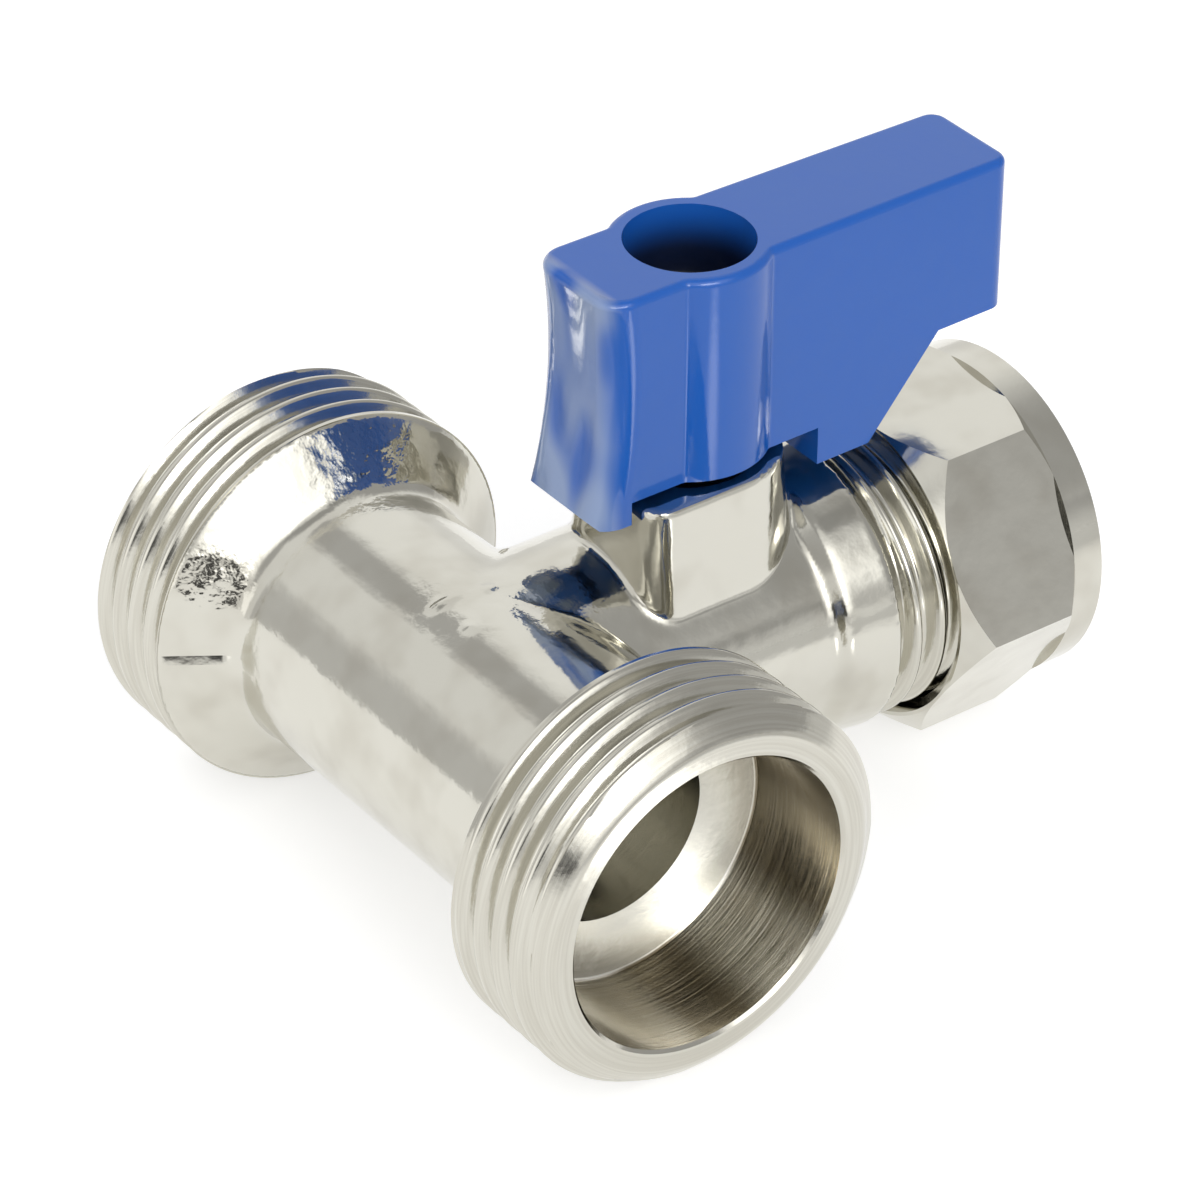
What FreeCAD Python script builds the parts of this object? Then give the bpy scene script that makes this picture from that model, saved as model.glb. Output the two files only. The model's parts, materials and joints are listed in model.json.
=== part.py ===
"""Washing machine valve: a plated brass tee with a quarter-turn ball valve in its branch.

The origin is where the supply pipe's end stops. +X runs out along the pipe, +Z up along the stem,
and the two hose outlets point along -Y and +Y. Sizes are in millimetres.
"""
import os
from math import atan2, cos, pi, radians, sin, sqrt, tan

import FreeCAD
import Part

V = FreeCAD.Vector
X_AXIS, Y_AXIS, Z_AXIS = V(1, 0, 0), V(0, 1, 0), V(0, 0, 1)

# Where the three axes stand
RUN_X = -27.4
STEM_X = -11.04

# The run and its two hose ends
RUN_HALF = 24.43
HOSE_R = 13.22
HOSE_FACE_R = 11.63
HOSE_LEAD_IN = 1.17
HOSE_LENGTH = 8.25
SHOULDER_DEPTH = 2.8
BARREL_R = 9.1
SHOULDER_FOOT_R = 1.5
MOUTH_R = 10.04
MOUTH_DEPTH = 8.4
MOUTH_CONE_DEPTH = 1.25
RUN_BORE_R = 6.5

# The branch neck and its threaded inlet
NECK_STEP = 0.1
NECK_R = BARREL_R - NECK_STEP
NECK_FLARE_START = -5.7
NECK_FLARE_END = -4.7
NECK_END = -1.0
NECK_EDGE_R = 0.3
CROTCH_R = 1.0
CROTCH_SHARE = 0.8
INLET_R = 10.0
NECK_LIP_STEP = 0.25
NECK_LIP_R = INLET_R + NECK_LIP_STEP
NECK_BAND_SHARE = 0.6
NECK_BAND_R = NECK_R + (NECK_LIP_R - NECK_R) * NECK_BAND_SHARE
RELIEF_DEPTH = 1.1
RELIEF_R = INLET_R - RELIEF_DEPTH
INLET_START = -0.3
INLET_END = 8.6
INLET_LEAD_IN = 0.8

# The pipe and its olive
PIPE_R = 7.5
PIPE_FIT = 0.1
SOCKET_R = PIPE_R + PIPE_FIT
OLIVE_CONE_DEPTH = 1.3
OLIVE_WALL = 1.2
OLIVE_NOSE_WALL = 0.2
OLIVE_CREST = 1.9
OLIVE_BACK = 1.4
OLIVE_GAP = 0.1

# The compression nut
NUT_ACROSS_FLATS = 21.9
NUT_TURN = 123.6
NUT_START = 3.0
NUT_END = 14.56
NUT_COLLAR_R = 11.3
NUT_COLLAR_START = 12.3
NUT_MOUTH_R = 10.75
NUT_MOUTH_RIM_R = 11.0
NUT_THREAD_FIT = 0.12

# The ball, its seats and the ring that holds them
BALL_R = 6.6
BALL_WALL = 2.2
BALL_BORE_R = BALL_R - BALL_WALL
BALL_GAP = 0.3
CHAMBER_R = BALL_R + BALL_GAP
PORT_STEP = 0.4
PORT_R = BALL_BORE_R + PORT_STEP
SEAT_FIT = 0.1
SEAT_STEP = 0.2
SEAT_BORE_R = BALL_BORE_R + SEAT_STEP
SEAT_BACK = BALL_R - SEAT_STEP
SEAT_DEPTH = 2.8
SEAT_FRONT = SEAT_BACK - SEAT_DEPTH
SEAT_TOUCH = 0.02
RETAINER_LEDGE = 0.3
RETAINER_R = CHAMBER_R + RETAINER_LEDGE
RETAINER_FIT = 0.05
RETAINER_STEP = 0.8
RETAINER_BORE_R = BALL_BORE_R + RETAINER_STEP
KEY_SLOT_WIDTH = 2.0
KEY_SLOT_DEPTH = 1.2

# The boss, its stop lug and the stem inside it
BOSS_TOP = 14.1
BOSS_HALF_Y = 5.9
BOSS_BACK = 6.8
BOSS_FRONT = 6.0
BOSS_CORNER_R = 1.6
BOSS_ROUND_R = 5.6
BOSS_SPREAD = 1.0
STEM_R = 3.0
STEM_FIT = 0.05
FLANGE_R = 4.0
FLANGE_FIT = 0.3
FLANGE_THICKNESS = 1.2
FLANGE_GAP = 0.35
FLANGE_BOTTOM = BALL_R + FLANGE_GAP
FLANGE_TOP = FLANGE_BOTTOM + FLANGE_THICKNESS
WASHER_THICKNESS = 0.85
WASHER_TOP = FLANGE_TOP + WASHER_THICKNESS
TANG_WIDTH = 2.6
TANG_LENGTH = 6.4
TANG_DEPTH = 1.6
TANG_BOTTOM = BALL_R - TANG_DEPTH
TANG_FIT = 0.1
SEAL_CORD_R = 0.49
SEAL_GROOVE_HALF = 0.65
SEAL_TOUCH = 0.01
SEAL_FROM_WASHER = 1.15
SEAL_FROM_TOP = 1.35
SEAL_HEIGHTS = (WASHER_TOP + SEAL_FROM_WASHER, BOSS_TOP - SEAL_FROM_TOP)
FLAT_HALF = 2.3
FLAT_START = 0.3
FLAT_BOTTOM = BOSS_TOP + FLAT_START
DRIVE_LENGTH = 5.6
STEM_TOP = FLAT_BOTTOM + DRIVE_LENGTH

# The lever
HANDLE_TOP = 29.0
HANDLE_HOLE_R = 4.18
HUB_R = 5.3
HUB_GAP = 0.5
HUB_BOTTOM = BOSS_TOP + HUB_GAP
TAIL_TOP_X = 9.15
TAIL_WAIST_X = 8.65
TAIL_FOOT_X = 9.9
TAIL_CORNER_R = 2.0
TAIL_DROP = 1.1
TAIL_BOTTOM = BOSS_TOP - TAIL_DROP
TAIL_HALF_Y = 4.17
ARM_LEG_END_X = 11.5
ARM_DROP = 2.2
ARM_LEG_BOTTOM = BOSS_TOP - ARM_DROP
ARM_STEP_X = 17.0
ARM_UNDERSIDE = 18.25
ARM_TIP_X = 22.55
ARM_HALF_Y = 3.86
ARM_CORNER_R = 1.2
HUB_BLEND_R = 0.6
HANDLE_EDGE_R = 0.5
LEG_FIT = 0.38
LEG_INNER_X = BOSS_BACK + BOSS_SPREAD * ARM_DROP / BOSS_TOP + LEG_FIT
STOP_FIT = 0.23
STOP_FACE = TAIL_HALF_Y + STOP_FIT
STOP_GRIP = 1.5
STOP_REACH = LEG_INNER_X + STOP_GRIP
DRIVE_FIT = 0.1
HUB_FLOOR = 1.0
SCREW_SEAT = STEM_TOP + HUB_FLOOR
SCREW_R = 1.5
SCREW_FIT = 0.1
SCREW_LENGTH = 5.8
SCREW_END = SCREW_SEAT - SCREW_LENGTH
SCREW_HEAD_R = 2.75
SCREW_HEAD_HEIGHT = 1.9
SCREW_HEAD_EDGE_R = 0.7
CROSS_WIDTH = 0.7
CROSS_LENGTH = 3.2
CROSS_DEPTH = 1.0

ORIGIN = V(0, 0, 0)
RUN_CENTRE = V(RUN_X, 0, 0)
STEM_FOOT = V(STEM_X, 0, 0)
PAST = 1.0
NEAR = 1e-3


def turned(profile, centre, axis):
    """Turn a closed outline of (along, radius) points about an axis through centre."""
    side = Z_AXIS if axis.z == 0 else X_AXIS
    points = [centre + axis * along + side * radius for along, radius in profile]
    return Part.Face(Part.makePolygon(points + points[:1])).revolve(centre, axis, 360)


def rod(radius, start, end, centre, axis):
    """Plain cylinder between two stations on an axis."""
    return Part.makeCylinder(radius, end - start, centre + axis * start, axis)


def block(x0, x1, y0, y1, z0, z1):
    """Box between two opposite corners."""
    return Part.makeBox(x1 - x0, y1 - y0, z1 - z0, V(x0, y0, z0))


def upright_edges(shape):
    """Straight edges that run along Z."""
    return [e for e in shape.Edges if abs(abs(e.tangentAt(e.FirstParameter).z) - 1) < NEAR
            and isinstance(e.Curve, Part.Line)]


def middle(edge):
    """Point half-way along an edge."""
    return edge.valueAt((edge.FirstParameter + edge.LastParameter) / 2)


def lies_on(point, radius, centre, axis):
    """Whether a point is on the round of that radius about an axis."""
    return abs(point.distanceToLine(centre, axis) - radius) < NEAR


def rims(shape, station, radius, axis):
    """Circular edges at one station on an axis through the origin."""
    return [e for e in shape.Edges if isinstance(e.Curve, Part.Circle)
            and abs(e.Curve.Radius - radius) < NEAR and abs(e.Curve.Center.dot(axis) - station) < NEAR]


def run_forging():
    """Outside of the straight run: two hose ends, their cone shoulders and the barrel."""
    inner = RUN_HALF - HOSE_LENGTH
    half = [(inner - SHOULDER_DEPTH, BARREL_R), (inner, HOSE_R),
            (RUN_HALF - HOSE_LEAD_IN, HOSE_R), (RUN_HALF, HOSE_FACE_R)]
    mirrored = [(-along, radius) for along, radius in reversed(half)]
    run = turned([(-RUN_HALF, 0)] + mirrored + half + [(RUN_HALF, 0)], RUN_CENTRE, Y_AXIS)
    feet = [e for side in (-1, 1) for e in rims(run, side * half[0][0], BARREL_R, Y_AXIS)]
    return run.makeFillet(SHOULDER_FOOT_R, feet)


def neck_forging():
    """Outside of the branch: plain neck, flared lip, relief groove and inlet thread."""
    profile = [(RUN_X, 0), (RUN_X, NECK_R), (NECK_FLARE_START, NECK_R), (NECK_FLARE_END, NECK_BAND_R),
               (NECK_END, NECK_LIP_R), (NECK_END, RELIEF_R), (INLET_START, RELIEF_R),
               (INLET_START, INLET_R), (INLET_END - INLET_LEAD_IN, INLET_R),
               (INLET_END, INLET_R - INLET_LEAD_IN), (INLET_END, 0)]
    neck = turned(profile, ORIGIN, X_AXIS)
    return neck.makeFillet(NECK_EDGE_R, rims(neck, NECK_END, NECK_LIP_R, X_AXIS))


def boss_plan(height, spread):
    """Outline of the boss at one height: two square corners and two round ones, opposite each other."""
    raw = block(STEM_X - BOSS_BACK - spread, STEM_X + BOSS_FRONT + spread,
                -BOSS_HALF_Y - spread, BOSS_HALF_Y + spread, height, height + PAST)
    square = [e for e in upright_edges(raw) if (middle(e).x - STEM_X) * middle(e).y > 0]
    raw = raw.makeFillet(BOSS_CORNER_R + spread, square)
    round_ = [e for e in upright_edges(raw) if (middle(e).x - STEM_X) * middle(e).y < 0]
    raw = raw.makeFillet(BOSS_ROUND_R + spread, round_)
    return min(raw.Faces, key=lambda face: face.CenterOfMass.z).OuterWire


def stem_boss():
    """Boss round the stem, a little wider towards the neck's axis, as forged."""
    return Part.makeLoft([boss_plan(0, BOSS_SPREAD), boss_plan(BOSS_TOP, 0)], True, True)


def stop_lug():
    """Corner post that the lever's two legs strike, one at each end of the quarter turn."""
    return block(STEM_X + STOP_FACE, STEM_X + STOP_REACH, STOP_FACE, STOP_REACH, 0, BOSS_TOP)


def run_waterway():
    """Wide mouth, cone and straight bore, the same from both ends."""
    shoulder = RUN_HALF - MOUTH_DEPTH
    half = [(shoulder - MOUTH_CONE_DEPTH, RUN_BORE_R), (shoulder, MOUTH_R), (RUN_HALF + PAST, MOUTH_R)]
    mirrored = [(-along, radius) for along, radius in reversed(half)]
    profile = [(-RUN_HALF - PAST, 0)] + mirrored + half + [(RUN_HALF + PAST, 0)]
    return turned(profile, RUN_CENTRE, Y_AXIS)


def branch_waterway():
    """Port to the run, ball chamber, tapped ring seat, pipe socket and olive cone, bored from the inlet."""
    cone = INLET_END - OLIVE_CONE_DEPTH
    seat_floor = STEM_X - SEAT_BACK
    tapped = STEM_X + SEAT_BACK
    profile = [(RUN_X, 0), (RUN_X, PORT_R), (seat_floor, PORT_R), (seat_floor, CHAMBER_R),
               (tapped, CHAMBER_R), (tapped, RETAINER_R), (0, RETAINER_R), (0, SOCKET_R), (cone, SOCKET_R),
               (INLET_END + PAST, SOCKET_R + OLIVE_CONE_DEPTH + PAST), (INLET_END + PAST, 0)]
    return turned(profile, ORIGIN, X_AXIS)


def stem_bore():
    """Flange pocket over the chamber and the bore up through the boss."""
    pocket = rod(FLANGE_R + FLANGE_FIT, 0, WASHER_TOP, STEM_FOOT, Z_AXIS)
    return pocket.fuse(rod(STEM_R + STEM_FIT, 0, BOSS_TOP + PAST, STEM_FOOT, Z_AXIS))


def valve_body():
    """The forging, blended where its limbs meet, then machined."""
    slope = atan2(HOSE_R - BARREL_R, SHOULDER_DEPTH)
    shoulder_foot = RUN_HALF - HOSE_LENGTH - SHOULDER_DEPTH - SHOULDER_FOOT_R * tan(slope / 2)
    crotch_r = min(CROTCH_R, (shoulder_foot - NECK_R) * CROTCH_SHARE)
    tee = run_forging().fuse([neck_forging(), stem_boss()]).removeSplitter()
    crotch = [e for e in tee.Edges if lies_on(middle(e), NECK_R, ORIGIN, X_AXIS)
              and lies_on(middle(e), BARREL_R, RUN_CENTRE, Y_AXIS)]
    forging = tee.makeFillet(crotch_r, crotch).fuse(stop_lug()).removeSplitter()
    return forging.cut([run_waterway(), branch_waterway(), stem_bore()]).removeSplitter()


def ball():
    """Ball with its waterway along the branch and a slot across its top."""
    sphere = Part.makeSphere(BALL_R, STEM_FOOT)
    slot = block(STEM_X - TANG_WIDTH / 2 - TANG_FIT, STEM_X + TANG_WIDTH / 2 + TANG_FIT,
                 -BALL_R, BALL_R, TANG_BOTTOM - TANG_FIT, BALL_R + PAST)
    return sphere.cut([rod(BALL_BORE_R, -BALL_R - PAST, BALL_R + PAST, STEM_FOOT, X_AXIS), slot])


def seat(side):
    """Seat ring on one side of the ball, hollowed to the ball's shape."""
    profile = [(SEAT_FRONT, SEAT_BORE_R), (SEAT_FRONT, CHAMBER_R - SEAT_FIT),
               (SEAT_BACK, CHAMBER_R - SEAT_FIT), (SEAT_BACK, SEAT_BORE_R)]
    ring = turned(profile, STEM_FOOT, X_AXIS * side)
    return ring.cut(Part.makeSphere(BALL_R + SEAT_TOUCH, STEM_FOOT))


def seat_retainer():
    """Threaded ring with two key slots in its outer face."""
    start = STEM_X + SEAT_BACK
    ring = rod(RETAINER_R - RETAINER_FIT, start, 0, ORIGIN, X_AXIS)
    slot = block(-KEY_SLOT_DEPTH, PAST, -RETAINER_R, RETAINER_R, -KEY_SLOT_WIDTH / 2, KEY_SLOT_WIDTH / 2)
    return ring.cut([rod(RETAINER_BORE_R, start - PAST, PAST, ORIGIN, X_AXIS), slot])


def stem():
    """Spindle: tang, flange, two seal grooves, two driving flats and a tapped hole."""
    groove_r = STEM_R + STEM_FIT - 2 * (SEAL_CORD_R + SEAL_TOUCH)
    profile = [(FLANGE_BOTTOM, 0), (FLANGE_BOTTOM, FLANGE_R), (FLANGE_TOP, FLANGE_R), (FLANGE_TOP, STEM_R)]
    for height in SEAL_HEIGHTS:
        low, high = height - SEAL_GROOVE_HALF, height + SEAL_GROOVE_HALF
        profile += [(low, STEM_R), (low, groove_r), (high, groove_r), (high, STEM_R)]
    profile += [(STEM_TOP, STEM_R), (STEM_TOP, 0)]
    shaft = turned(profile, STEM_FOOT, Z_AXIS)
    beside = [block(STEM_X - STEM_R, STEM_X + STEM_R, y0, y1, FLAT_BOTTOM, STEM_TOP + PAST)
              for y0, y1 in ((FLAT_HALF, STEM_R + PAST), (-STEM_R - PAST, -FLAT_HALF))]
    tang = block(STEM_X - TANG_WIDTH / 2, STEM_X + TANG_WIDTH / 2, -TANG_LENGTH / 2, TANG_LENGTH / 2,
                 TANG_BOTTOM, FLANGE_BOTTOM)
    tapped = rod(SCREW_R + SCREW_FIT, SCREW_END - SCREW_FIT, STEM_TOP + PAST, STEM_FOOT, Z_AXIS)
    return shaft.fuse(tang).cut(beside + [tapped]).removeSplitter()


def stem_washer():
    """Flat thrust washer on top of the stem's flange."""
    disc = rod(FLANGE_R, FLANGE_TOP, WASHER_TOP, STEM_FOOT, Z_AXIS)
    return disc.cut(rod(STEM_R + STEM_FIT, FLANGE_TOP - PAST, WASHER_TOP + PAST, STEM_FOOT, Z_AXIS))


def stem_seal(height):
    """Rubber ring lying in one of the stem's grooves."""
    centre_r = STEM_R + STEM_FIT - SEAL_CORD_R - SEAL_TOUCH
    return Part.makeTorus(centre_r, SEAL_CORD_R, STEM_FOOT + Z_AXIS * height, Z_AXIS)


def side_point(x, z):
    """Point on the lever's middle plane, x measured from the stem."""
    return V(STEM_X + x, 0, z)


def handle_outline():
    """Side of the lever: bowed tail, hub underside, short leg, slanted step and straight arm."""
    tail_top = side_point(-TAIL_TOP_X, HANDLE_TOP)
    tail_waist = side_point(-TAIL_WAIST_X, (2 * HANDLE_TOP + TAIL_BOTTOM) / 3)
    tail_foot = side_point(-TAIL_FOOT_X, TAIL_BOTTOM + HANDLE_EDGE_R)
    corners = [tail_foot, side_point(HANDLE_EDGE_R - TAIL_FOOT_X, TAIL_BOTTOM),
               side_point(-LEG_INNER_X, TAIL_BOTTOM), side_point(-LEG_INNER_X, HUB_BOTTOM),
               side_point(LEG_INNER_X, HUB_BOTTOM), side_point(LEG_INNER_X, ARM_LEG_BOTTOM),
               side_point(ARM_LEG_END_X, ARM_LEG_BOTTOM), side_point(ARM_STEP_X, ARM_UNDERSIDE),
               side_point(ARM_TIP_X, ARM_UNDERSIDE), side_point(ARM_TIP_X, HANDLE_TOP), tail_top]
    back = Part.Arc(tail_top, tail_waist, tail_foot).toShape()
    return Part.Wire([back] + Part.makePolygon(corners).Edges)


def handle_plan():
    """Lever from above: straight tail, then an arm that narrows to its tip."""
    tail_x, tip_x = STEM_X - TAIL_FOOT_X - PAST, STEM_X + ARM_TIP_X
    near_side = [V(tail_x, -TAIL_HALF_Y, 0), V(STEM_X, -TAIL_HALF_Y, 0), V(tip_x, -ARM_HALF_Y, 0)]
    far_side = [V(point.x, -point.y, 0) for point in reversed(near_side)]
    return Part.makePolygon(near_side + far_side + near_side[:1])


def handle():
    """Lever: the side outline cut to the plan, the round hub blended into it, corners and rim softened."""
    slab = Part.Face(handle_outline()).extrude(Y_AXIS * (2 * TAIL_HALF_Y))
    slab.translate(Y_AXIS * -TAIL_HALF_Y)
    lever = slab.common(Part.Face(handle_plan()).extrude(Z_AXIS * (HANDLE_TOP + PAST)))
    lever = lever.fuse(rod(HUB_R, HUB_BOTTOM, HANDLE_TOP, STEM_FOOT, Z_AXIS)).removeSplitter()
    tall = [e for e in lever.Edges if e.BoundBox.ZLength > PAST]
    tail = [e for e in tall if e.BoundBox.XMax < STEM_X - LEG_INNER_X - NEAR]
    lever = lever.makeFillet(TAIL_CORNER_R, tail)
    tip = [e for e in upright_edges(lever) if e.BoundBox.XMin > STEM_X + ARM_TIP_X - NEAR]
    lever = lever.makeFillet(ARM_CORNER_R, tip)
    creases = [e for e in upright_edges(lever) if lies_on(middle(e), HUB_R, STEM_FOOT, Z_AXIS)]
    lever = lever.makeFillet(HUB_BLEND_R, creases)
    lever = lever.makeFillet(HANDLE_EDGE_R, [e for e in lever.Edges if e.BoundBox.ZMin > HANDLE_TOP - NEAR])
    drive = rod(STEM_R + DRIVE_FIT, HUB_BOTTOM - PAST, STEM_TOP, STEM_FOOT, Z_AXIS)
    drive = drive.common(block(STEM_X - HUB_R, STEM_X + HUB_R, -FLAT_HALF - DRIVE_FIT, FLAT_HALF + DRIVE_FIT,
                               HUB_BOTTOM - PAST, STEM_TOP))
    return lever.cut([drive, rod(SCREW_R + SCREW_FIT, STEM_TOP - PAST, SCREW_SEAT + PAST, STEM_FOOT, Z_AXIS),
                      rod(HANDLE_HOLE_R, SCREW_SEAT, HANDLE_TOP + PAST, STEM_FOOT, Z_AXIS)])


def handle_screw():
    """Pan head screw with a cross slot."""
    top = SCREW_SEAT + SCREW_HEAD_HEIGHT
    head = rod(SCREW_HEAD_R, SCREW_SEAT, top, STEM_FOOT, Z_AXIS)
    head = head.makeFillet(SCREW_HEAD_EDGE_R, [e for e in head.Edges if e.BoundBox.ZMin > top - NEAR])
    half_l, half_w = CROSS_LENGTH / 2, CROSS_WIDTH / 2
    cross = [block(STEM_X - a, STEM_X + a, -b, b, top - CROSS_DEPTH, top + PAST)
             for a, b in ((half_l, half_w), (half_w, half_l))]
    return head.fuse(rod(SCREW_R, SCREW_END, SCREW_SEAT, STEM_FOOT, Z_AXIS)).cut(cross)


def olive_profile():
    """Stations and radii of the olive's outside, nose to back."""
    nose = INLET_END - OLIVE_CONE_DEPTH + OLIVE_GAP + OLIVE_NOSE_WALL
    crest_r = SOCKET_R + OLIVE_WALL
    crest = nose + OLIVE_WALL - OLIVE_NOSE_WALL
    return [(nose, SOCKET_R + OLIVE_NOSE_WALL), (crest, crest_r), (crest + OLIVE_CREST, crest_r),
            (crest + OLIVE_CREST + OLIVE_BACK, SOCKET_R + OLIVE_NOSE_WALL)]


def olive():
    """Brass ring, coned both ways, that grips the pipe."""
    outside = olive_profile()
    return turned(outside + [(outside[-1][0], SOCKET_R), (outside[0][0], SOCKET_R)], ORIGIN, X_AXIS)


def compression_nut():
    """Hexagon nut with turned ends, a round collar and a cone inside for the olive."""
    corner_r = NUT_ACROSS_FLATS / sqrt(3)
    corners = [V(NUT_START, corner_r * cos(a), corner_r * sin(a))
               for a in (radians(NUT_TURN) + k * pi / 3 for k in range(6))]
    outline = Part.makePolygon(corners + corners[:1])
    hexagon = Part.Face(outline).extrude(X_AXIS * (NUT_COLLAR_START - NUT_START))
    rise = corner_r - NUT_MOUTH_RIM_R
    fall = corner_r - NUT_COLLAR_R
    envelope = turned([(NUT_START, 0), (NUT_START, NUT_MOUTH_RIM_R), (NUT_START + rise, corner_r),
                       (NUT_COLLAR_START - fall, corner_r), (NUT_COLLAR_START, NUT_COLLAR_R),
                       (NUT_COLLAR_START, 0)], ORIGIN, X_AXIS)
    collar = rod(NUT_COLLAR_R, NUT_COLLAR_START, NUT_END, ORIGIN, X_AXIS)
    thread_r = INLET_R + NUT_THREAD_FIT
    mouth = NUT_MOUTH_R - thread_r
    (back, crest_r), (end, end_r) = olive_profile()[2:]
    cone_r = crest_r + OLIVE_GAP
    inside = turned([(NUT_START - PAST, 0), (NUT_START - PAST, NUT_MOUTH_R), (NUT_START, NUT_MOUTH_R),
                     (NUT_START + mouth, thread_r), (back - thread_r + cone_r, thread_r), (back, cone_r),
                     (end, end_r + OLIVE_GAP), (NUT_END + PAST, end_r + OLIVE_GAP), (NUT_END + PAST, 0)],
                    ORIGIN, X_AXIS)
    return hexagon.common(envelope).fuse(collar).cut(inside).removeSplitter()


NODES = {
    "valve_body": valve_body(),
    "ball": ball(),
    "seat_outlet": seat(-1),
    "seat_inlet": seat(1),
    "seat_retainer": seat_retainer(),
    "stem": stem(),
    "stem_washer": stem_washer(),
    "stem_seal_lower": stem_seal(SEAL_HEIGHTS[0]),
    "stem_seal_upper": stem_seal(SEAL_HEIGHTS[1]),
    "handle": handle(),
    "handle_screw": handle_screw(),
    "olive": olive(),
    "compression_nut": compression_nut(),
}

os.makedirs("parts", exist_ok=True)
for name, shape in NODES.items():
    shape.exportStep(f"parts/{name}.step")
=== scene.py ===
"""Looks of the washing machine valve: cut threads, plated and moulded finishes, studio and camera.

The pieces stand in the solids' own frame, in metres: the origin is where the supply pipe's end stops,
+X runs out along the pipe, +Z up along the stem, and the hose outlets point along -Y and +Y.
"""
import json
from math import atan2, cos, pi, radians, sin, sqrt, tan

import bpy
from mathutils import Matrix, Vector


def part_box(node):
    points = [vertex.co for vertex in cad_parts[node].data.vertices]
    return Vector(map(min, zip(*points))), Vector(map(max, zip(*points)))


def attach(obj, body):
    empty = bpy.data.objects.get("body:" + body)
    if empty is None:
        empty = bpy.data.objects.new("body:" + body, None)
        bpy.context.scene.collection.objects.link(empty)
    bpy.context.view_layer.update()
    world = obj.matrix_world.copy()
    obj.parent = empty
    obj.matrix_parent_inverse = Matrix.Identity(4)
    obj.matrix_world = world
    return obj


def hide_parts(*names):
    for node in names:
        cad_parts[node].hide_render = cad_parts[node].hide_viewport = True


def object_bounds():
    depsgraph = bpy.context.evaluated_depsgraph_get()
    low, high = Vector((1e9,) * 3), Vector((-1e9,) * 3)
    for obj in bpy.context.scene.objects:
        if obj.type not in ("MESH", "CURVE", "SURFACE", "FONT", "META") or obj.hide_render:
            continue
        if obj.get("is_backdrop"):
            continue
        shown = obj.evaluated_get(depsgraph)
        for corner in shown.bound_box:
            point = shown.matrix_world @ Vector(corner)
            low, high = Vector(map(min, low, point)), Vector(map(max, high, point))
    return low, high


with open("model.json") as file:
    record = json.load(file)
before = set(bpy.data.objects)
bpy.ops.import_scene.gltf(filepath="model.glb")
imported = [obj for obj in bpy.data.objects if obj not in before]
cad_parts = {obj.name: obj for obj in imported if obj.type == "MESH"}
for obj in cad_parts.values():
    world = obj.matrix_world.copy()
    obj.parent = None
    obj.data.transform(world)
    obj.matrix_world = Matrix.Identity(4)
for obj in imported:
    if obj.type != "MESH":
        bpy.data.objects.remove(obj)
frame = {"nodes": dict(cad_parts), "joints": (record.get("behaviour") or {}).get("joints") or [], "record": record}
SOLID_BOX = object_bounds()

MM = 0.001
X_AXIS, Y_AXIS, Z_AXIS = Vector((1, 0, 0)), Vector((0, 1, 0)), Vector((0, 0, 1))
ORIGIN = Vector((0, 0, 0))
WELD = 1e-7
NODE_WELD = 1e-6
SHARP = radians(35)

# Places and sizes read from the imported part
MOUNTS = {mount["name"]: mount for mount in frame["record"]["mounts"]}
JOINTS = {joint["name"]: joint for joint in frame["joints"]}
HOSE = MOUNTS["outlet_rear"]
RUN_X = HOSE["pos_m"][0]
STEM_X = JOINTS["lever_turn"]["pos_m"][0]
HOSE_R = HOSE["dims"]["r_mm"] * MM
HOSE_FULL_START = HOSE["pos_m"][1] - HOSE["dims"]["length_mm"] * MM / 2
HOSE_FULL_END = HOSE["pos_m"][1] + HOSE["dims"]["length_mm"] * MM / 2
BODY_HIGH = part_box("valve_body")[1]
RUN_HALF = BODY_HIGH.y
INLET_END = BODY_HIGH.x
SOCKET_R = MOUNTS["inlet_pipe"]["dims"]["r_mm"] * MM
RETAINER_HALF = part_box("seat_retainer")[1].y
RUN_CENTRE = Vector((RUN_X, 0, 0))

# The threads: a rounded 55 degree form in shares of its pitch, cut to a share of its full depth
THREAD_FLANK = radians(27.5)
THREAD_ROUNDING = 0.1373
THREAD_HEIGHT = 0.6403
THREAD_DEPTH = 0.84
TURN_STEPS = 240
ROWS_PER_PITCH = 18

# The hose ends
HOSE_FACE_R = 11.63 * MM
HOSE_CUT_STEP = 0.02 * MM
HOSE_CUT = HOSE_FULL_START + HOSE_CUT_STEP
MOUTH_R = 10.04 * MM
MOUTH_EDGE = 0.2 * MM
FACE_EDGE = 0.3 * MM
HOSE_PITCH = 1.814 * MM
HOSE_RUN_OUT = 0.9 * MM

# The inlet end
INLET_R = 10.0 * MM
INLET_START = -0.3 * MM
INLET_LEAD_IN = 0.8 * MM
INLET_PITCH = 2.0 * MM
INLET_RUN_OUT = 0.5 * MM
RELIEF_R = 8.9 * MM
RELIEF_CUT = -0.65 * MM
RELIEF_STEP = 0.05 * MM
OLIVE_CONE_DEPTH = 1.3 * MM
RETAINER_FIT = 0.05 * MM
RETAINER_R = RETAINER_HALF + RETAINER_FIT

# The lever
LEVER_LOW, LEVER_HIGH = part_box("handle")
LEVER_TOP = LEVER_HIGH.z
LEVER_FOOT = LEVER_LOW.z
TAIL_X = LEVER_LOW.x
HOLE_R = 4.3 * MM
# Painted shade darkens the screw hole over these depths below the lever's top
HOLE_SHADE = (0.2 * MM, 3.4 * MM)
# The tail end's zone, with painted sheen and pale moulding flash on it, and the band of paler streaks along its
# foot
TAIL_END_ZONE = (0.8 * MM, 2.0 * MM)
FOOT_BAND = (0.2 * MM, 1.2 * MM)

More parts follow.
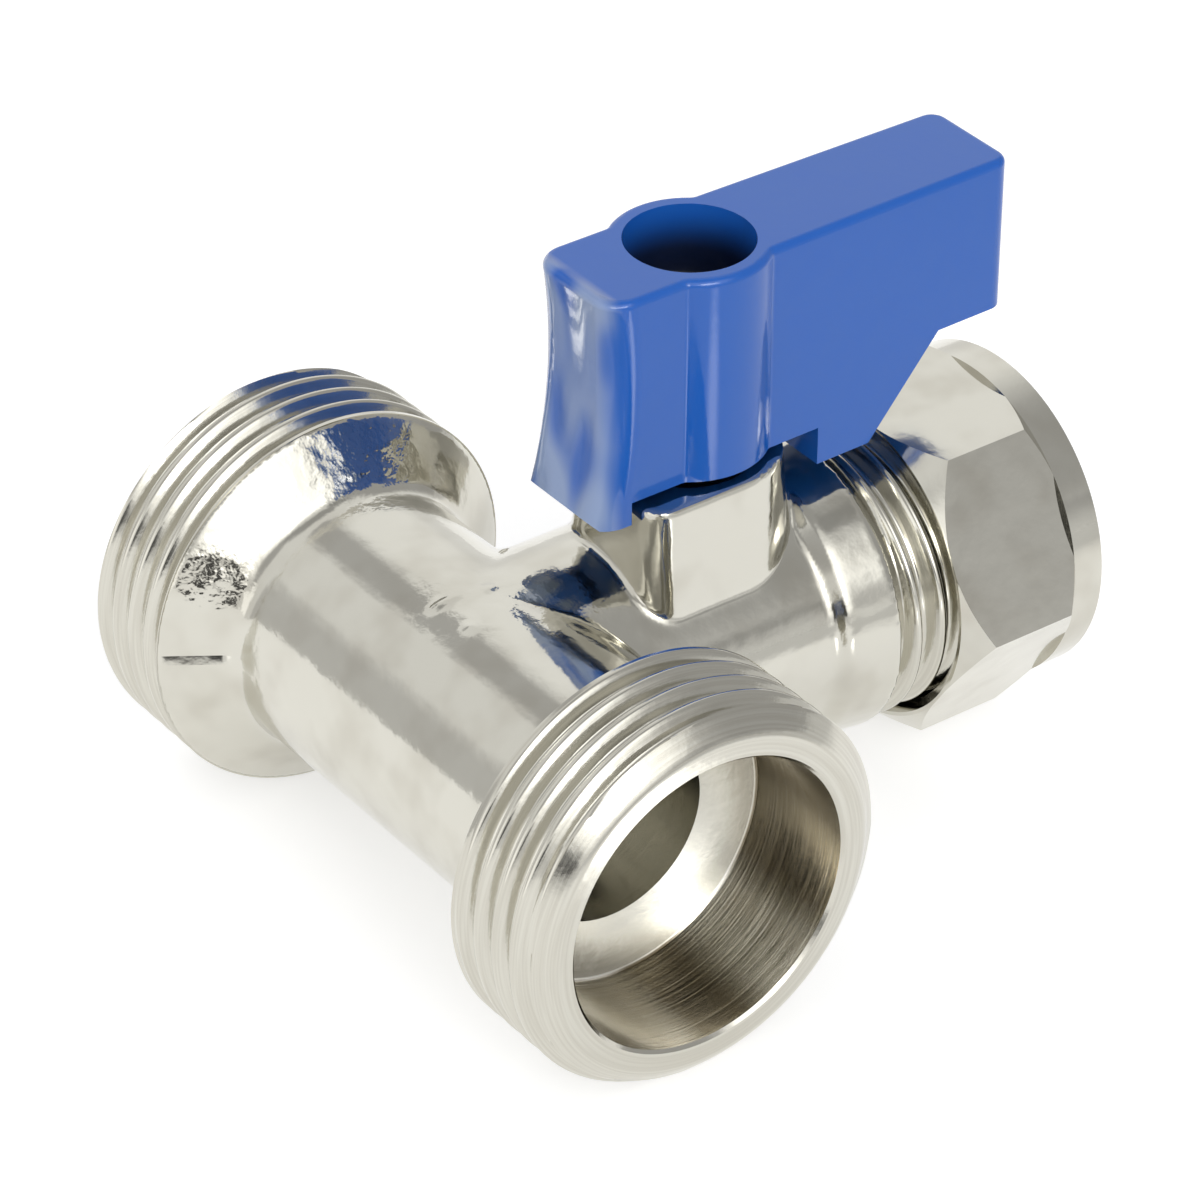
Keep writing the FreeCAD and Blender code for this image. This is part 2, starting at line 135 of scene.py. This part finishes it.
# The forging's skin, made a little long at its open ends and trimmed once it is soft
BOSS_CUT_STEP = 0.05 * MM
BOSS_CUT = BODY_HIGH.z - BOSS_CUT_STEP
STEM_HOLE_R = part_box("stem")[1].y
STEM_PLUG_WALL = 1.0 * MM
STEM_PLUG_DEPTH = 2.0 * MM
HOSE_MARGIN = 1.0 * MM
INLET_MARGIN = 0.25 * MM
CORE_REACH = 1.0 * MM
TOUCH = 0.001 * MM
FORGING_GRAIN = 0.25 * MM
FORGING_SOFTNESS = 0.5
FORGING_PASSES = 4

# Raised marks left by the forging die: middle and half size in millimetres
FORGED_MARKS = (
    ((-28.7, 0.6, 8.8), (1.6, 0.3, 0.4)),
    ((-26.3, 0.2, 8.85), (0.9, 0.35, 0.4)),
    ((-29.4, -2.5, 8.6), (0.7, 0.5, 0.45)),
)

# The camera, worked out from the photograph's circles
CAMERA_TARGET = Vector((-18.621, -1.280, 5.926)) * MM
CAMERA_DISTANCE = 350.94 * MM
CAMERA_AZIMUTH = radians(-36.645)
CAMERA_ELEVATION = radians(34.096)
CAMERA_ROLL = radians(0.42)
CAMERA_LENS = 167.87
CAMERA_SENSOR = 36.0
CAMERA_NEAR = 10 * MM


# Handling of objects and meshes

def only(obj):
    """Select one object alone and make it active."""
    bpy.ops.object.select_all(action="DESELECT")
    obj.select_set(True)
    bpy.context.view_layer.objects.active = obj


def applied(obj, kind, **settings):
    """Add a modifier with its settings and apply it."""
    only(obj)
    modifier = obj.modifiers.new(kind.lower(), kind)
    for key, value in settings.items():
        setattr(modifier, key, value)
    bpy.ops.object.modifier_apply(modifier=modifier.name)


def drawn(name, points):
    """Line through points, drawn by extruding one vertex from each point to the next."""
    bpy.ops.object.select_all(action="DESELECT")
    bpy.ops.mesh.primitive_plane_add(size=MM)
    obj = bpy.context.object
    obj.name = obj.data.name = name
    bpy.ops.object.mode_set(mode="EDIT")
    bpy.ops.mesh.select_mode(type="VERT")
    bpy.ops.mesh.merge(type="CENTER")
    bpy.ops.transform.translate(value=points[0])
    for here, there in zip(points, points[1:]):
        bpy.ops.mesh.extrude_region_move(TRANSFORM_OT_translate={"value": there - here})
    bpy.ops.object.mode_set(mode="OBJECT")
    return obj


def spun(name, profile, centre, axis):
    """Closed outline of (along, radius) points, turned about a level axis as on a lathe."""
    points = [centre + axis * along + Z_AXIS * radius for along, radius in profile]
    obj = drawn(name, points + points[:1])
    bpy.ops.object.mode_set(mode="EDIT")
    bpy.ops.mesh.select_all(action="SELECT")
    bpy.ops.mesh.remove_doubles(threshold=WELD)
    bpy.ops.mesh.select_all(action="SELECT")
    bpy.ops.mesh.spin(steps=TURN_STEPS, angle=2 * pi, center=centre, axis=axis)
    bpy.ops.mesh.select_all(action="SELECT")
    bpy.ops.mesh.remove_doubles(threshold=WELD)
    bpy.ops.mesh.normals_make_consistent(inside=False)
    bpy.ops.object.mode_set(mode="OBJECT")
    return obj


def soft_shaded(obj):
    """Smooth shading, with edges kept where faces turn sharply."""
    only(obj)
    bpy.ops.object.shade_smooth_by_angle(angle=SHARP)
    return obj


def node_copy(node, name):
    """Copy of a solid's mesh, with its loose triangles merged and its stored normals cleared."""
    obj = frame["nodes"][node].copy()
    obj.data = obj.data.copy()
    obj.name = obj.data.name = name
    obj.parent = None
    for key in list(obj.keys()):
        del obj[key]
    bpy.context.scene.collection.objects.link(obj)
    only(obj)
    bpy.ops.object.mode_set(mode="EDIT")
    bpy.ops.mesh.select_all(action="SELECT")
    bpy.ops.mesh.remove_doubles(threshold=NODE_WELD)
    bpy.ops.mesh.customdata_custom_splitnormals_clear()
    bpy.ops.object.mode_set(mode="OBJECT")
    return obj


def cut_away(obj, point, normal):
    """Cut away what lies beyond a plane and leave the cut open."""
    only(obj)
    bpy.ops.object.mode_set(mode="EDIT")
    bpy.ops.mesh.select_all(action="SELECT")
    bpy.ops.mesh.bisect(plane_co=point, plane_no=normal, clear_outer=True, threshold=WELD)
    bpy.ops.object.mode_set(mode="OBJECT")


def closed(obj):
    """Close every open rim with one face and turn all faces outwards."""
    only(obj)
    bpy.ops.object.mode_set(mode="EDIT")
    bpy.ops.mesh.select_all(action="SELECT")
    bpy.ops.mesh.fill_holes(sides=0)
    bpy.ops.mesh.select_all(action="SELECT")
    bpy.ops.mesh.normals_make_consistent(inside=False)
    bpy.ops.object.mode_set(mode="OBJECT")
    return obj


def loose_parts(obj):
    """Split an object into its loose parts, the widest first."""
    only(obj)
    bpy.ops.object.mode_set(mode="EDIT")
    bpy.ops.mesh.separate(type="LOOSE")
    bpy.ops.object.mode_set(mode="OBJECT")
    parts = list(bpy.context.selected_objects)
    return sorted(parts, key=lambda part: part.dimensions.length, reverse=True)


# Threads

def groove(along, pitch):
    """Full depth of a thread below its crests, at a distance along from one crest."""
    rounding = THREAD_ROUNDING * pitch
    tip = rounding * cos(THREAD_FLANK)
    depth = THREAD_HEIGHT * pitch
    from_crest = abs((along / pitch + 0.5) % 1 - 0.5) * pitch
    from_root = pitch / 2 - from_crest
    if from_crest < tip:
        return rounding - sqrt(rounding ** 2 - from_crest ** 2)
    if from_root < tip:
        return depth - rounding + sqrt(rounding ** 2 - from_root ** 2)
    return rounding * (1 - sin(THREAD_FLANK)) + (from_crest - tip) / tan(THREAD_FLANK)


def eased(value):
    """Smooth step from 0 to 1."""
    value = min(max(value, 0), 1)
    return value * value * (3 - 2 * value)


def rows(start, end, spacing):
    """Evenly spaced stations from start to end."""
    count = round((end - start) / spacing)
    return [start + (end - start) * step / count for step in range(count + 1)]


def cut_thread(obj, centre, axis, crest_r, core_r, pitch, run_out):
    """Sink a right-hand helical groove into the outside of a turned ring, faded in over its run-out."""
    across = axis.cross(Z_AXIS)
    start = min((vertex.co - centre).dot(axis) for vertex in obj.data.vertices)
    for vertex in obj.data.vertices:
        along = (vertex.co - centre).dot(axis)
        spoke = vertex.co - centre - axis * along
        if spoke.length < core_r:
            continue
        turn = atan2(spoke.dot(across), spoke.dot(Z_AXIS)) / (2 * pi)
        depth = THREAD_DEPTH * groove(along - turn * pitch, pitch) * eased((along - start) / run_out)
        radius = min(spoke.length, crest_r - depth)
        vertex.co = centre + axis * along + spoke.normalized() * radius


# Pieces of the body

def rounded(before, corner, after):
    """Four points on a curve round a corner: it starts at the point before and ends on the point after."""
    curve = []
    for share in (0.25, 0.5, 0.75, 1.0):
        weights = ((1 - share) ** 2, 2 * share * (1 - share), share ** 2)
        pairs = [zip(weights, parts) for parts in zip(before, corner, after)]
        curve.append(tuple(sum(weight * part for weight, part in pair) for pair in pairs))
    return curve


def hose_end(name, axis, outside_plate, inside_plate):
    """Threaded ring of a hose outlet, with its lead-in chamfer, end face and wide mouth."""
    chamfer = (HOSE_R - HOSE_FACE_R) / (RUN_HALF - HOSE_FULL_END)
    outside = []
    for along in rows(HOSE_CUT, RUN_HALF - FACE_EDGE, HOSE_PITCH / ROWS_PER_PITCH):
        outside.append((along, HOSE_R - max(along - HOSE_FULL_END, 0) * chamfer))
    outside += rounded(outside[-1], (RUN_HALF, HOSE_FACE_R), (RUN_HALF, HOSE_FACE_R - FACE_EDGE))
    inside = [
        (RUN_HALF, MOUTH_R + MOUTH_EDGE),
        (RUN_HALF - MOUTH_EDGE, MOUTH_R),
        (HOSE_CUT, MOUTH_R),
    ]
    ring = spun(name, outside + inside, RUN_CENTRE, axis)
    cut_thread(ring, RUN_CENTRE, axis, HOSE_R, MOUTH_R + 2 * MOUTH_EDGE, HOSE_PITCH, HOSE_RUN_OUT)
    dressed(ring, outside_plate, inside_plate)
    for face in ring.data.polygons:
        spoke = face.center - RUN_CENTRE
        spoke.y = 0
        face.material_index = int(spoke.length < MOUTH_R + MOUTH_EDGE / 4)
    return soft_shaded(ring)


def inlet_end():
    """Threaded end that the nut screws on, with the pipe's socket and the olive's cone."""
    outside = [(RELIEF_CUT, RELIEF_R)]
    for along in rows(INLET_START, INLET_END, INLET_PITCH / ROWS_PER_PITCH):
        outside.append((along, INLET_R - max(along - INLET_END + INLET_LEAD_IN, 0)))
    inside = [
        (INLET_END, SOCKET_R + OLIVE_CONE_DEPTH),
        (INLET_END - OLIVE_CONE_DEPTH, SOCKET_R),
        (0, SOCKET_R),
        (0, RETAINER_R),
        (RELIEF_CUT, RETAINER_R),
    ]
    ring = spun("inlet_end", outside + inside, ORIGIN, X_AXIS)
    cut_thread(ring, ORIGIN, X_AXIS, INLET_R, RELIEF_R + RELIEF_STEP, INLET_PITCH, INLET_RUN_OUT)
    return soft_shaded(ring)


def without_ends(tee, hose_margin=0.0, inlet_margin=0.0):
    """Cut the plain thread cylinders off a body, with a margin of them left on."""
    cut_away(tee, RUN_CENTRE + Y_AXIS * (HOSE_CUT + hose_margin), Y_AXIS)
    cut_away(tee, RUN_CENTRE - Y_AXIS * (HOSE_CUT + hose_margin), -Y_AXIS)
    cut_away(tee, X_AXIS * (RELIEF_CUT + inlet_margin), X_AXIS)
    return tee


def waterways():
    """The hollow of the body as a solid core that reaches a little past every opening."""
    tee = without_ends(node_copy("valve_body", "waterways"))
    cut_away(tee, Z_AXIS * BOSS_CUT, Z_AXIS)
    skin, core = [closed(part) for part in loose_parts(tee)]
    bpy.data.objects.remove(skin)
    for vertex in core.data.vertices:
        if abs(abs(vertex.co.y) - HOSE_CUT) < TOUCH:
            vertex.co.y += CORE_REACH if vertex.co.y > 0 else -CORE_REACH
        if abs(vertex.co.x - RELIEF_CUT) < TOUCH:
            vertex.co.x += CORE_REACH
        if abs(vertex.co.z - BOSS_CUT) < TOUCH:
            vertex.co.z += CORE_REACH
    return core


def forging(outside, inside):
    """The forged tee between its threaded ends: a softened skin round the solid's own waterways."""
    skin = closed(without_ends(node_copy("valve_body", "forging"), HOSE_MARGIN, INLET_MARGIN))
    only(skin)
    bpy.ops.object.mode_set(mode="EDIT")
    bpy.ops.mesh.primitive_cylinder_add(
        radius=STEM_HOLE_R + STEM_PLUG_WALL,
        depth=STEM_PLUG_DEPTH,
        location=(STEM_X, 0, BOSS_CUT - STEM_PLUG_DEPTH / 2),
    )
    for place, size in FORGED_MARKS:
        bpy.ops.mesh.primitive_uv_sphere_add(radius=MM, location=Vector(place) * MM)
        bpy.ops.transform.resize(value=size)
    bpy.ops.object.mode_set(mode="OBJECT")
    applied(skin, "REMESH", mode="VOXEL", voxel_size=FORGING_GRAIN)
    applied(skin, "SMOOTH", factor=FORGING_SOFTNESS, iterations=FORGING_PASSES)
    closed(without_ends(skin))
    dressed(skin, outside)
    core = dressed(waterways(), inside)
    hollow = {"operation": "DIFFERENCE", "object": core, "solver": "EXACT", "material_mode": "TRANSFER"}
    applied(skin, "BOOLEAN", **hollow)
    bpy.data.objects.remove(core)
    return soft_shaded(skin)


# Finishes

# Patches of the forging with a rougher skin: middle and reach in millimetres, gain of the grain
ROUGH_PATCHES = (
    ((-37.1, 14.8, 5.7), 1.7, 8.0),
    ((-26.0, 15.1, 11.6), 3.0, 6.0),
    ((-28.0, 0.0, 9.0), 2.5, 3.0),
    ((-24.0, -3.0, 8.5), 3.0, 2.0),
)

# The dark land that the trimmed parting line left on the rear shoulder
PARTING = Vector((-38.5, 14.8, 0.4)) * MM
PARTING_HALF = 0.35 * MM
PARTING_REACH = 1.8 * MM
PARTING_RIM = 2.5 * MM
PARTING_RISE = 0.1 * MM

# Lathe marks: how many cross a metre, and how often one breaks off along a metre
MARKS = 4500
MARK_BREAKS = 120
MARK_GRAIN = 0.012 * MM

# Where a wall begins, by radius, and where it turns dull and brownish, bright with a painted sheen, and dull
# again, towards the inlet
WALL_RIM = (-0.25 * MM, -0.1 * MM)
WALL_DULL = (-2.2 * MM, 0.6 * MM)
WALL_SHEEN_RISE = (2.5 * MM, 6 * MM)
WALL_DULL_AGAIN = (7.5 * MM, 9.2 * MM)


class Value:
    """One output of a shader node; sums, products and smooth steps add the nodes they need."""

    def __init__(self, nodes, socket):
        self.nodes = nodes
        self.socket = socket

    def math(self, operation, first, second):
        return self.nodes.node("ShaderNodeMath", {"operation": operation}, {0: first, 1: second})

    def __add__(self, other):
        return self.math("ADD", self, other)

    def __radd__(self, other):
        return self.math("ADD", other, self)

    def __sub__(self, other):
        return self.math("SUBTRACT", self, other)

    def __rsub__(self, other):
        return self.math("SUBTRACT", other, self)

    def __mul__(self, other):
        return self.math("MULTIPLY", self, other)

    def __rmul__(self, other):
        return self.math("MULTIPLY", other, self)

    def __truediv__(self, other):
        return self.math("DIVIDE", self, other)

    def clamped(self, low, high):
        """This value, held between low and high."""
        return self.math("MINIMUM", self.math("MAXIMUM", self, low), high)

    def between(self, low, high):
        """Smooth step of this value, 0 at low and 1 at high."""
        inputs = {"Value": self, "From Min": low, "From Max": high}
        return self.nodes.node("ShaderNodeMapRange", {"interpolation_type": "SMOOTHSTEP"}, inputs)


class Nodes:
    """A shader's node tree."""

    def __init__(self, tree):
        self.tree = tree

    def feed(self, socket, value):
        """Link a node's output to a socket, or set a plain value on it."""
        if isinstance(value, Value):
            self.tree.links.new(value.socket, socket)
        else:
            socket.default_value = value

    def node(self, kind, settings, inputs, output=0):
        """Add a node: its settings first, then its sockets' values or links."""
        node = self.tree.nodes.new(kind)
        for key, value in settings.items():
            setattr(node, key, value)
        for key, value in inputs.items():
            self.feed(node.inputs[key], value)
        return Value(self, node.outputs[output])

    def vectors(self, operation, inputs, output="Vector"):
        return self.node("ShaderNodeVectorMath", {"operation": operation}, inputs, output)

    def place(self):
        """Where a point lies on the object, in the solids' frame."""
        return self.node("ShaderNodeTexCoord", {}, {}, "Object")

    def part(self, vector, axis):
        return self.node("ShaderNodeSeparateXYZ", {}, {0: vector}, axis)

    def noise(self, vector, size, detail=2.0):
        """Cloudy values around 0.5 with lumps of about the given size."""
        inputs = {"Vector": vector, "Scale": 1 / size, "Detail": detail}
        return self.node("ShaderNodeTexNoise", {}, inputs)

    def dot(self, first, second):
        return self.vectors("DOT_PRODUCT", {0: first, 1: second}, "Value")

    def stretched(self, vector, scale):
        return self.vectors("MULTIPLY", {0: vector, 1: scale})

    def blend(self, share, first, second):
        """Colour from first to second by a share."""
        return self.node("ShaderNodeMix", {"data_type": "RGBA"}, {0: share, 6: first, 7: second}, 2)

    def near(self, vector, middle, reach, rim):
        """1 within reach of a middle point, fading to 0 over a rim."""
        away = self.vectors("DISTANCE", {0: vector, 1: middle}, "Value")
        return 1 - away.between(reach, reach + rim)

    def roughened(self, place):
        """How strong the forging's grain is: more on the patches that the die left rough."""
        strength = 1.0
        for middle, reach, gain in ROUGH_PATCHES:
            strength = strength + gain * self.near(place, Vector(middle) * MM, reach * MM, reach * MM)
        return strength

    def bump(self, height, distance, below=None):
        """Surface raised by a height of 0 to 1 times a distance, on top of another bump."""
        inputs = {"Height": height, "Distance": distance, "Strength": 1.0}
        if below:
            inputs["Normal"] = below
        return self.node("ShaderNodeBump", {}, inputs)


class Finish(Nodes):
    """A material built round one principled surface."""

    def __init__(self, name, **constants):
        self.material = bpy.data.materials.new(name)
        self.material.use_nodes = True
        super().__init__(self.material.node_tree)
        self.surface = self.tree.nodes["Principled BSDF"]
        self.set(**constants)

    def set(self, **inputs):
        """Give sockets of the surface their value or link; an underscore stands for a space."""
        for name, value in inputs.items():
            self.feed(self.surface.inputs[name.replace("_", " ")], value)


def rgb(red, green, blue):
    return (red, green, blue, 1.0)


NICKEL = rgb(0.62, 0.605, 0.54)
NICKEL_DULL = rgb(0.55, 0.53, 0.465)
# Painted sheen on the bored wall, and the darker brownish bands across it
WALL_PAINTED_SHEEN = rgb(0.92, 0.9, 0.84)
WALL_DULL_BROWN = rgb(0.34, 0.3, 0.225)
LEVER_BLUE = rgb(0.009, 0.098, 0.45)
LEVER_CLOUD = rgb(0.015, 0.105, 0.435)
# Painted shade down the screw hole
HOLE_PAINTED_SHADE = rgb(0.008, 0.015, 0.045)
# Painted sheen with pale moulding flash at the tail end
TAIL_SHEEN_AND_FLASH = rgb(0.26, 0.34, 0.52)
# Paler streaks along the foot of the tail end
FOOT_PALE = rgb(0.55, 0.65, 0.85)


def nickel_plate(name, ripple):
    """Bright nickel plate over the soft waves and the fine grain of the metal below."""
    finish = Finish(name, Metallic=1.0)
    place = finish.place()
    cloud = finish.noise(place, 4 * MM)
    waves = finish.bump(finish.noise(place, 3 * MM), ripple)
    lumps = finish.noise(place, 1.4 * MM, 3.0) * finish.roughened(place)
    grain = finish.bump(lumps, ripple / 2, waves)
    height = (finish.part(place, "Z") - PARTING.z) / PARTING_HALF
    land = finish.near(place, PARTING, PARTING_REACH, PARTING_RIM)
    finish.set(
        Base_Color=finish.blend(cloud.between(0.4, 0.75), NICKEL, NICKEL_DULL),
        Roughness=0.07 + cloud * 0.08,
        Normal=finish.bump((0 - height.clamped(-1, 1)) * land, PARTING_RISE, grain),
    )
    return finish.material


def turned_plate(name, centre, axis, depth, roughness, wall_r=0.0):
    """Plate over lathe marks round an axis; a wall's radius keeps them, and its painted sheen between dull
    brownish bands, to that wall.
    """
    finish = Finish(name, Metallic=1.0)
    place = finish.place()
    arm = finish.vectors("SUBTRACT", {0: place, 1: centre})
    along = finish.dot(arm, axis)
    across = finish.stretched(arm, Vector((1, 1, 1)) - axis)
    radius = finish.vectors("LENGTH", {0: across}, "Value")
    stations = {0: (along + radius) * MARKS, 1: finish.part(across, "Z") * MARK_BREAKS}
    marks = finish.noise(finish.node("ShaderNodeCombineXYZ", {}, stations), 1.0, 3.0)
    grain = finish.bump(finish.noise(place, 0.9 * MM, 3.0), MARK_GRAIN)
    wall = (radius - wall_r).between(*WALL_RIM)
    colour = finish.blend(marks.between(0.3, 0.7) * wall, NICKEL, NICKEL_DULL)
    if wall_r:
        side = finish.part(arm, "X")
        # Bands across the wall: dull brownish, with a painted sheen where it turns bright
        dull = side.between(*WALL_DULL) - side.between(*WALL_SHEEN_RISE) + side.between(*WALL_DULL_AGAIN)
        share = (dull * (0.7 + 0.6 * marks)).clamped(0, 1)
        colour = finish.blend(wall, colour, finish.blend(share, WALL_PAINTED_SHEEN, WALL_DULL_BROWN))
    finish.set(
        Base_Color=colour,
        Roughness=roughness + marks * 0.1,
        Normal=finish.bump(marks * wall, depth, grain),
    )
    return finish.material


def blue_plastic():
    """Glossy moulded blue with painted shade down the screw hole; wavy at the tail end, with painted sheen, pale
    moulding flash and paler streaks at its foot.
    """
    finish = Finish("blue plastic", Specular_IOR_Level=0.5)
    place = finish.place()
    along, height = finish.part(place, "X"), finish.part(place, "Z")
    cloud = finish.noise(place, 2 * MM)
    flow = finish.noise(finish.stretched(place, (1, 1, 0.4)), 2.5 * MM, 0.0)
    from_stem = finish.node("ShaderNodeCombineXYZ", {}, {0: along - STEM_X, 1: finish.part(place, "Y")})
    inside = finish.near(from_stem, (0, 0, 0), HOLE_R, 0.1 * MM)
    depth = (LEVER_TOP - height).between(*HOLE_SHADE)
    tail = 1 - (along - TAIL_X).between(*TAIL_END_ZONE)
    foot = 1 - (height - LEVER_FOOT).between(*FOOT_BAND)
    blue = finish.blend(cloud, LEVER_BLUE, LEVER_CLOUD)
    # Painted shade: the blue darkens to near black down the screw hole
    blue = finish.blend(inside * depth, blue, HOLE_PAINTED_SHADE)
    # Painted sheen, with pale moulding flash, streaks the tail end
    blue = finish.blend(tail * flow.between(0.3, 0.6) * 0.9, blue, TAIL_SHEEN_AND_FLASH)
    # Paler streaks along the foot of the tail end
    blue = finish.blend(tail * foot * cloud.between(0.45, 0.55), blue, FOOT_PALE)
    orange_peel = finish.bump(finish.noise(place, 0.6 * MM), 0.006 * MM)
    finish.set(
        Base_Color=blue,
        Roughness=0.07 + 0.06 * cloud,
        Normal=finish.bump(flow * tail, 0.5 * MM, orange_peel),
    )
    return finish.material


def plain_metal(name, colour, roughness):
    """Bare or plated metal with a little scatter in its shine."""
    finish = Finish(name, Metallic=1.0, Base_Color=colour)
    finish.set(Roughness=roughness * (0.8 + 0.4 * finish.noise(finish.place(), 1 * MM)))
    return finish.material


def soft_part(name, colour, roughness):
    """Matt seat ring, washer or seal."""
    finish = Finish(name, Base_Color=colour)
    finish.set(Roughness=roughness + 0.1 * finish.noise(finish.place(), 0.5 * MM))
    return finish.material


def dressed(obj, *materials):
    """Give an object these materials alone."""
    obj.data.materials.clear()
    for material in materials:
        obj.data.materials.append(material)
    return obj


# The dressed part

def fit(obj, body, node):
    """Put a finished piece in a node's place."""
    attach(obj, body)
    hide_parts(node)


forged_plate = nickel_plate("forged nickel plate", 0.04 * MM)
bored_plate = turned_plate("bored nickel plate", RUN_CENTRE, Y_AXIS, 0.05 * MM, 0.16, MOUTH_R)
turned_hose = turned_plate("turned hose end plate", RUN_CENTRE, Y_AXIS, 0.004 * MM, 0.09)
turned_inlet = turned_plate("turned inlet plate", ORIGIN, X_AXIS, 0.004 * MM, 0.08)
fit(forging(forged_plate, bored_plate), "valve", "valve_body")
for side, axis in (("front", -Y_AXIS), ("rear", Y_AXIS)):
    ring = hose_end("hose_end_" + side, axis, turned_hose, bored_plate)
    fit(ring, "valve", "valve_body")
fit(dressed(inlet_end(), turned_inlet), "valve", "valve_body")

brass = plain_metal("bare brass", rgb(0.78, 0.58, 0.28), 0.25)
white = soft_part("white seat", rgb(0.85, 0.85, 0.82), 0.45)
rubber = soft_part("black rubber", rgb(0.02, 0.02, 0.02), 0.4)
NODE_FINISHES = {
    "handle": blue_plastic(),
    "compression_nut": nickel_plate("turned nut plate", 0.02 * MM),
    "ball": plain_metal("chrome ball", rgb(0.72, 0.72, 0.73), 0.08),
    "handle_screw": plain_metal("zinc plated steel", rgb(0.6, 0.6, 0.58), 0.25),
    "seat_retainer": brass,
    "stem": brass,
    "olive": brass,
    "seat_outlet": white,
    "seat_inlet": white,
    "stem_washer": white,
    "stem_seal_lower": rubber,
    "stem_seal_upper": rubber,
}
for node, material in NODE_FINISHES.items():
    dressed(frame["nodes"][node], material)


# Studio

FLOOR_Z = SOLID_BOX[0].z
FLOOR_SIZE = 6.0
FLOOR_GREY = rgb(0.7, 0.7, 0.7)
FLOOR_GLOW = 0.52

# The floor's glow dims along one heading, and is brightest in a long pool in front of the part
DIM_HEADING = radians(35)
DIM_START, DIM_END = 60 * MM, 120 * MM
DIM_LIGHT = rgb(0.15, 0.15, 0.15)
POOL = Vector((-15, -27, 0)) * MM
POOL_STRETCH = (1, 0.45, 1)
POOL_REACH, POOL_RIM = 2 * MM, 9 * MM
POOL_LIGHT = rgb(6, 6, 6)
WHITE, BLACK = rgb(1, 1, 1), rgb(0, 0, 0)

# Light all round, and the places that change it: azimuth, elevation, reach and rim in degrees, change
ROOM_LIGHT = 0.95
STUDIO = (
    (-11, 26, 8, 6, 6.0),
    (-8, 30, 16, 16, 0.8),
    (-3, 52, 10, 14, 0.5),
    (-72, 10, 8, 14, 0.6),
    (146, 30, 12, 12, 0.15),
    (72, 28, 26, 22, -0.48),
    (22, 14, 5, 8, -0.3),
    (34, 6, 8, 6, -0.15),
    (-10, 76, 16, 14, -0.5),
    (-56, 42, 8, 14, -0.4),
    (180, 47, 5, 8, -0.4),
    (-33, 3, 7, 5, -0.9),
    (-134, 5, 12, 12, -0.28),
)


def heading(azimuth, elevation):
    """Direction from the part: azimuth from the front towards the inlet, elevation from the floor."""
    return Vector((sin(azimuth) * cos(elevation), -cos(azimuth) * cos(elevation), sin(elevation)))


def floor():
    """Pale floor with the part's shadow, white to the eye and in the metal."""
    bpy.ops.object.select_all(action="DESELECT")
    bpy.ops.mesh.primitive_plane_add(size=FLOOR_SIZE, location=(0, 0, FLOOR_Z))
    obj = bpy.context.object
    obj.name = "floor"
    finish = Finish("pale floor", Base_Color=FLOOR_GREY, Roughness=0.9, Specular_IOR_Level=0.0)
    place = finish.place()
    pool = finish.near(finish.stretched(place, POOL_STRETCH), POOL, POOL_REACH, POOL_RIM)
    away = finish.dot(place, heading(DIM_HEADING, 0))
    light = finish.blend(away.between(DIM_START, DIM_END), WHITE, DIM_LIGHT)
    light = finish.blend(pool, light, POOL_LIGHT)
    seen = 0
    for ray in ("Is Camera Ray", "Is Glossy Ray", "Is Transmission Ray"):
        seen = seen + finish.node("ShaderNodeLightPath", {}, {}, ray)
    finish.set(Emission_Color=finish.blend(seen, BLACK, light), Emission_Strength=FLOOR_GLOW)
    dressed(obj, finish.material)
    obj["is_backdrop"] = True


def surroundings():
    """Soft studio: pale all round, with a few broad brighter and darker places."""
    world = bpy.data.worlds.new("studio")
    world.use_nodes = True
    bpy.context.scene.world = world
    nodes = Nodes(world.node_tree)
    way = nodes.node("ShaderNodeTexCoord", {}, {}, "Generated")
    light = ROOM_LIGHT
    for azimuth, elevation, reach, softness, change in STUDIO:
        aim = heading(radians(azimuth), radians(elevation))
        nearness = nodes.dot(way, aim).between(cos(radians(reach + softness)), cos(radians(reach)))
        light = light + change * nearness
    background = world.node_tree.nodes["Background"]
    nodes.feed(background.inputs["Color"], WHITE)
    nodes.feed(background.inputs["Strength"], light)


def camera():
    """Camera at the photograph's place."""
    back = heading(CAMERA_AZIMUTH, CAMERA_ELEVATION)
    level = Vector((cos(CAMERA_AZIMUTH), sin(CAMERA_AZIMUTH), 0))
    right = level * cos(CAMERA_ROLL) + back.cross(level) * sin(CAMERA_ROLL)
    up = back.cross(right)
    data = bpy.data.cameras.new("camera")
    data.lens = CAMERA_LENS
    data.sensor_width = CAMERA_SENSOR
    data.clip_start = CAMERA_NEAR
    obj = bpy.data.objects.new("camera", data)
    bpy.context.scene.collection.objects.link(obj)
    turn = Matrix((right, up, back)).transposed().to_4x4()
    obj.matrix_world = Matrix.Translation(CAMERA_TARGET + back * CAMERA_DISTANCE) @ turn
    bpy.context.scene.camera = obj


floor()
surroundings()
camera()
bpy.context.scene.view_settings.view_transform = "Standard"

[[list(corner) for corner in box] for box in (SOLID_BOX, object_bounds())]
